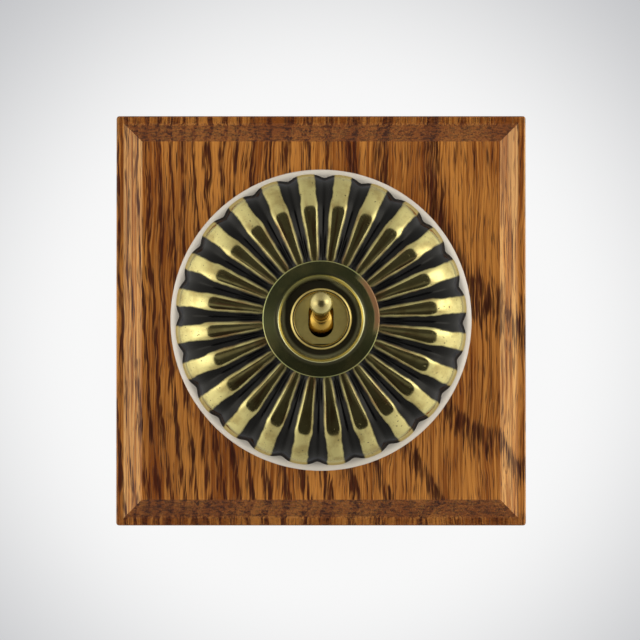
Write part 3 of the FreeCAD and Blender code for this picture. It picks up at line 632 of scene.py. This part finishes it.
def domeGuide(depth, landHeight, landTilt, rows):
    # the profile at a depth under the rib crests, as (radius, height) in mm
    crown, skirt = math.radians(dome["crownTilt"]), math.radians(dome["skirtTilt"])
    shoulder = dome["shoulderRadius"]
    centreHeight = dome["top"] - dome["crownDrop"] - shoulder * math.cos(crown)
    skirtTop = centreHeight + shoulder * math.cos(skirt)
    centreRadius = dome["radius"] - (skirtTop - dome["foot"]) / math.tan(skirt) - shoulder * math.sin(skirt)
    size = shoulder - depth

    def onShoulder(tilt):
        return np.array([centreRadius + size * np.sin(tilt), centreHeight + size * np.cos(tilt)]).T

    def downSlope(tilt):
        return np.array([math.cos(tilt), -math.sin(tilt)])

    land = np.array([dome["landRadius"], landHeight])
    begin, end = onShoulder(crown), onShoulder(skirt)
    handle = np.hypot(*(begin - land)) / 3
    poles = [land, land + downSlope(math.radians(landTilt)) * handle, begin - downSlope(crown) * handle, begin]
    t = np.linspace(0, 1, rows[0], endpoint=False)[:, None]
    curve = ((1 - t) ** 3 * poles[0] + 3 * (1 - t) ** 2 * t * poles[1]
             + 3 * (1 - t) * t ** 2 * poles[2] + t ** 3 * poles[3])
    arc = onShoulder(np.linspace(crown, skirt, rows[1], endpoint=False))
    rim = np.array([end[0] + (end[1] - dome["foot"]) / math.tan(skirt), dome["foot"]])
    line = end + (rim - end) * np.linspace(0, 1, rows[2] + 1)[:, None]
    return np.vstack([curve, arc, line])


def ribSkin(crest, valley):
    # the wave from valley over crest to valley at each row, all round: rows x columns x 3, with the wall at y = 0
    columns = dome["ribs"] * dome["acrossRib"]
    turn = np.arange(columns) / dome["acrossRib"]
    share = np.abs((turn + 0.5) % 1 * 2 - 1)
    flat, smooth = dome["ribFlatness"], dome["valleyRoundness"]
    fall = share ** flat * (1 + flat / smooth * (1 - share ** smooth))
    wave = crest[:, None] + (valley - crest)[:, None] * fall[None, :, None]
    angle = math.radians(dome["phase"]) + turn * 2 * math.pi / dome["ribs"]
    return np.stack([wave[..., 0] * np.cos(angle), -wave[..., 1], wave[..., 0] * np.sin(angle)], -1) * mm


def makeDome():
    under = dome["top"] - dome["wall"]
    outer = ribSkin(domeGuide(0, dome["top"], dome["crestLandTilt"], dome["outerRows"]),
                    domeGuide(dome["fluteDepth"], dome["top"], dome["valleyLandTilt"], dome["outerRows"]))
    inner = ribSkin(domeGuide(dome["wall"], under, dome["crestLandTilt"], dome["innerRows"]),
                    domeGuide(dome["wall"] + dome["fluteDepth"], under, dome["valleyLandTilt"], dome["innerRows"]))
    turn = np.arctan2(outer[0, :, 2], outer[0, :, 0])
    hole = np.stack([np.cos(turn), 0 * turn, np.sin(turn)], -1) * dome["holeRadius"] * mm
    topEdge = hole + (0, -dome["top"] * mm, 0)
    lowEdge = hole + (0, -under * mm, 0)
    loops = np.concatenate([topEdge[None], outer, inner[::-1], lowEdge[None]])
    rows, columns = loops.shape[:2]
    faces = []
    for row in range(rows):
        for column in range(columns):
            here, below, after = row * columns, (row + 1) % rows * columns, (column + 1) % columns
            faces.append((here + column, below + column, below + after, here + after))
    mesh = bpy.data.meshes.new("pressedDome")
    mesh.from_pydata(loops.reshape(-1, 3).tolist(), [], faces)
    mesh.polygons.foreach_set("use_smooth", [True] * len(mesh.polygons))
    mesh.update()
    piece = bpy.data.objects.new("pressedDome", mesh)
    bpy.context.scene.collection.objects.link(piece)
    sharp = piece.modifiers.new("crispEdges", "EDGE_SPLIT")
    sharp.split_angle = math.radians(dome["crispAngle"])
    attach(piece, "base")
    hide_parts("fluted_dome")
    return piece


# Pressed brass, blackened all over and then buffed: glossy black flutes, bright worn crests with a few black pits.
patina = {
    "black": "#0A0A0B",
    "sheen": "#FFFBF0",
    "innerHalf": 3.25,       # half width of the buffed strip in degrees: near the collar, midway and near the rim
    "midHalf": 4.25,
    "outerHalf": 3.35,
    "widening": (15.0, 24.0),        # mm from the axis
    "narrowing": (25.5, 29.0),
    "start": (12.4, 14.4),
    "startRound": 0.4,       # less is a blunter end
    "edgeBlur": (1.8, 0.5),  # degrees, near the collar and near the rim
    "wander": 1.5,
    "wanderSize": 3.0,
    "pitSize": 0.55,
    "pitCut": (0.665, 0.71, 0.85),   # pattern level where a pit starts and is full, and how black it is
    "pitsFrom": (24.0, 28.0),        # mm from the axis: pits grow in, the red fades out
    "brownCut": (0.42, 0.70, 0.6),
    "red": "#8E5A3C",        # reddish streaks along the ribs, full near the collar and fading towards the rim
    "redCut": (0.45, 0.72, 0.75),
    "redLeft": 0.1,          # how much of it is left at the rim
    "streak": (0.8, 9.0),    # mm wide and long, the width at the radius below
    "streakRadius": 20.0,
    "foot": (38.2, 36.0),    # mm out from the wall: below this the shoulder keeps a dull film
    "footTone": "#A8945A",
    "footMatt": 0.75,
    "gloss": (0.12, 0.11),   # roughness of the black and of the buffed brass, and what the films add to it
    "brownDull": 0.10,
    "footDull": 0.65,
    "specular": 0.19,
    "dentSize": 4.0,         # mm
    "buffedDepth": 0.15,     # counted in depths of a dent
    "relief": 0.05,          # mm
}


def makePatina():
    material, add, link, shader, place = startMaterial("pressedBrassBlackenedAndBuffed")
    axis = add("ShaderNodeSeparateXYZ", {0: place})
    flat = add("ShaderNodeVectorMath", {0: place, 1: (1, 0, 1)}, operation="MULTIPLY")
    radius = add("ShaderNodeVectorMath", {0: flat}, operation="LENGTH")
    angle = add("ShaderNodeMath", {0: axis.outputs["Z"], 1: axis.outputs["X"]}, operation="ARCTAN2")
    pitch = 2 * math.pi / dome["ribs"]
    # counted so that a rib's middle comes at a half, and every turn is above zero
    start = dome["ribs"] + 0.5 - math.radians(dome["phase"]) / pitch
    turn = add("ShaderNodeMath", {0: angle, 1: 1 / pitch, 2: start}, operation="MULTIPLY_ADD")
    share = add("ShaderNodeMath", {0: turn}, operation="FRACT")
    signed = add("ShaderNodeMath", {0: share, 1: 0.5}, operation="SUBTRACT")
    off = add("ShaderNodeMath", {0: signed}, operation="ABSOLUTE")
    wander = add("ShaderNodeTexNoise", {"Vector": place, "Scale": 1 / patina["wanderSize"], "Detail": 4.0})
    sway = add("ShaderNodeMath", {0: wander, 1: patina["wander"], 2: -patina["wander"] / 2}, operation="MULTIPLY_ADD")
    degrees = add("ShaderNodeMath", {0: off, 1: 360 / dome["ribs"], 2: sway}, operation="MULTIPLY_ADD")
    widened = add("ShaderNodeMapRange", {
        "Value": radius, "From Min": patina["widening"][0], "From Max": patina["widening"][1],
        "To Min": patina["innerHalf"], "To Max": patina["midHalf"],
    })
    half = add("ShaderNodeMapRange", {
        "Value": radius, "From Min": patina["narrowing"][0], "From Max": patina["narrowing"][1],
        "To Min": widened, "To Max": patina["outerHalf"],
    }, interpolation_type="SMOOTHSTEP")
    begun = add("ShaderNodeMapRange", {"Value": radius, "From Min": patina["start"][0], "From Max": patina["start"][1]})
    roundEnd = add("ShaderNodeMath", {0: begun, 1: patina["startRound"]}, operation="POWER")
    strip = add("ShaderNodeMath", {0: half, 1: roundEnd}, operation="MULTIPLY")
    inside = add("ShaderNodeMath", {0: strip, 1: degrees}, operation="SUBTRACT")
    blur = add("ShaderNodeMapRange", {
        "Value": radius, "From Min": patina["widening"][0], "From Max": patina["narrowing"][0],
        "To Min": patina["edgeBlur"][0], "To Max": patina["edgeBlur"][1],
    })
    beyond = add("ShaderNodeMath", {0: blur, 1: -1.0}, operation="MULTIPLY")
    worn = add("ShaderNodeMapRange", {
        "Value": inside, "From Min": beyond, "From Max": blur,
    }, interpolation_type="SMOOTHSTEP")
    grain = add("ShaderNodeTexNoise", {"Vector": place, "Scale": 1 / patina["pitSize"], "Detail": 2.0})
    outer = add("ShaderNodeMapRange", {
        "Value": radius, "From Min": patina["pitsFrom"][0], "From Max": patina["pitsFrom"][1],
    })
    bloom = add("ShaderNodeTexNoise", {"Vector": place, "Scale": 1 / brass["bloomSize"], "Detail": 5.0})
    along = add("ShaderNodeMath", {0: radius, 1: 1 / patina["streak"][1]}, operation="MULTIPLY")
    around = add("ShaderNodeMath", {0: angle, 1: patina["streakRadius"] / patina["streak"][0]}, operation="MULTIPLY")
    lane = add("ShaderNodeCombineXYZ", {"X": around, "Y": along})
    streak = add("ShaderNodeTexNoise", {"Vector": lane, "Scale": 1.0, "Detail": 3.0})
    pits, brown, reddened = [add("ShaderNodeMapRange", {
        "Value": pattern, "From Min": low, "From Max": full, "To Max": most,
    }, interpolation_type="SMOOTHSTEP") for pattern, (low, full, most) in (
        (grain, patina["pitCut"]), (bloom, patina["brownCut"]), (streak, patina["redCut"]),
    )]
    pitted = add("ShaderNodeMath", {0: pits, 1: outer}, operation="MULTIPLY")
    whole = add("ShaderNodeMath", {0: 1.0, 1: pitted}, operation="SUBTRACT")
    buffed = add("ShaderNodeMath", {0: worn, 1: whole}, operation="MULTIPLY")
    innerShare = add("ShaderNodeMapRange", {"Value": outer, "To Min": 1.0, "To Max": patina["redLeft"]})
    red = add("ShaderNodeMath", {0: reddened, 1: innerShare}, operation="MULTIPLY")
    yellow = add("ShaderNodeMix", {
        "Factor": brown, "A": linear(brass["bright"]), "B": linear(brass["tarnish"]),
    }, data_type="RGBA")
    metal = add("ShaderNodeMix", {"Factor": red, "A": yellow, "B": linear(patina["red"])}, data_type="RGBA")
    foot = add("ShaderNodeMapRange", {
        "Value": axis.outputs["Y"], "From Min": -patina["foot"][0], "From Max": -patina["foot"][1],
    }, interpolation_type="SMOOTHSTEP")
    dulled = add("ShaderNodeMix", {"Factor": foot, "A": metal, "B": linear(patina["footTone"])}, data_type="RGBA")
    tone = add("ShaderNodeMix", {"Factor": buffed, "A": linear(patina["black"]), "B": dulled}, data_type="RGBA")
    link(tone.outputs["Result"], shader.inputs["Base Color"])
    lacquered = add("ShaderNodeMath", {0: foot, 1: -patina["footMatt"], 2: 1.0}, operation="MULTIPLY_ADD")
    shiny = add("ShaderNodeMath", {0: buffed, 1: lacquered}, operation="MULTIPLY")
    link(shiny.outputs[0], shader.inputs["Metallic"])
    shader.inputs["Specular IOR Level"].default_value = patina["specular"]
    shader.inputs["Specular Tint"].default_value = linear(patina["sheen"])
    rough = add("ShaderNodeMapRange", {"Value": buffed, "To Min": patina["gloss"][0], "To Max": patina["gloss"][1]})
    dull = add("ShaderNodeMath", {0: brown, 1: patina["brownDull"], 2: rough}, operation="MULTIPLY_ADD")
    dull = add("ShaderNodeMath", {0: foot, 1: patina["footDull"], 2: dull}, operation="MULTIPLY_ADD")
    link(dull.outputs[0], shader.inputs["Roughness"])
    dents = add("ShaderNodeTexNoise", {"Vector": place, "Scale": 1 / patina["dentSize"], "Detail": 2.0})
    height = add("ShaderNodeMath", {0: buffed, 1: -patina["buffedDepth"], 2: dents}, operation="MULTIPLY_ADD")
    relief = add("ShaderNodeBump", {"Height": height, "Distance": patina["relief"] * mm, "Strength": 0.5})
    link(relief.outputs[0], shader.inputs["Normal"])
    return material


domePiece = makeDome()
domePiece.data.materials.append(makePatina())
print("dome made:", len(domePiece.data.polygons), "faces")

# The pieces inside and behind: machined brass, bright plated steel, silver and a dark moulded housing.
inner = {
    "steel": ("#C9C8C4", "#9C9A94"),
    "silver": ("#E3E1DB", "#B9B5AB"),
    "machined": ("#CFB26A", "#9C7F45"),
    "phenolic": ("#2A211C", "#3A2A22"),
    "mottleSize": 1.5,       # mm
    "mottleGloss": (0.36, 0.52),
}
steel = makeMetal("platedSteelBright", *inner["steel"], rough=0.22, bloom=0.5)
dress(steel, "yoke_plate", "pivot_pin", "terminal_screws", "yoke_screws", "earth_screw", "body_screws", "base_screws")
dress(makeMetal("silverContact", *inner["silver"], rough=0.20, bloom=0.5), "rocker_contacts", "fixed_contacts")
dress(makeMetal("machinedBrass", *inner["machined"], rough=0.24, bloom=0.6),
      "common_terminal", "upper_terminal", "lower_terminal", "rocker", "plunger")


def makePhenolic():
    # moulded resin: a dull dark brown with a faint mottle from the filler
    material, add, link, shader, place = startMaterial("mouldedPhenolic")
    mottle = add("ShaderNodeTexNoise", {"Vector": place, "Scale": 1 / inner["mottleSize"], "Detail": 4.0})
    tone = add("ShaderNodeMix", {
        "Factor": mottle, "A": linear(inner["phenolic"][0]), "B": linear(inner["phenolic"][1]),
    }, data_type="RGBA")
    link(tone.outputs["Result"], shader.inputs["Base Color"])
    rough = add("ShaderNodeMapRange", {
        "Value": mottle, "To Min": inner["mottleGloss"][0], "To Max": inner["mottleGloss"][1],
    })
    link(rough.outputs[0], shader.inputs["Roughness"])
    return material


dress(makePhenolic(), "switch_body")

# The coil in the dolly's tail, on the solid's own mesh.
solidSpring = nodes["plunger_spring"]
bpy.context.view_layer.update()
coil = bpy.data.objects.new("coilSpring", solidSpring.data.copy())
coil.matrix_world = solidSpring.matrix_world
bpy.context.scene.collection.objects.link(coil)
coil.data.materials.clear()
coil.data.materials.append(steel)
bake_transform(coil)
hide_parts("plunger_spring")
print("inner pieces dressed")
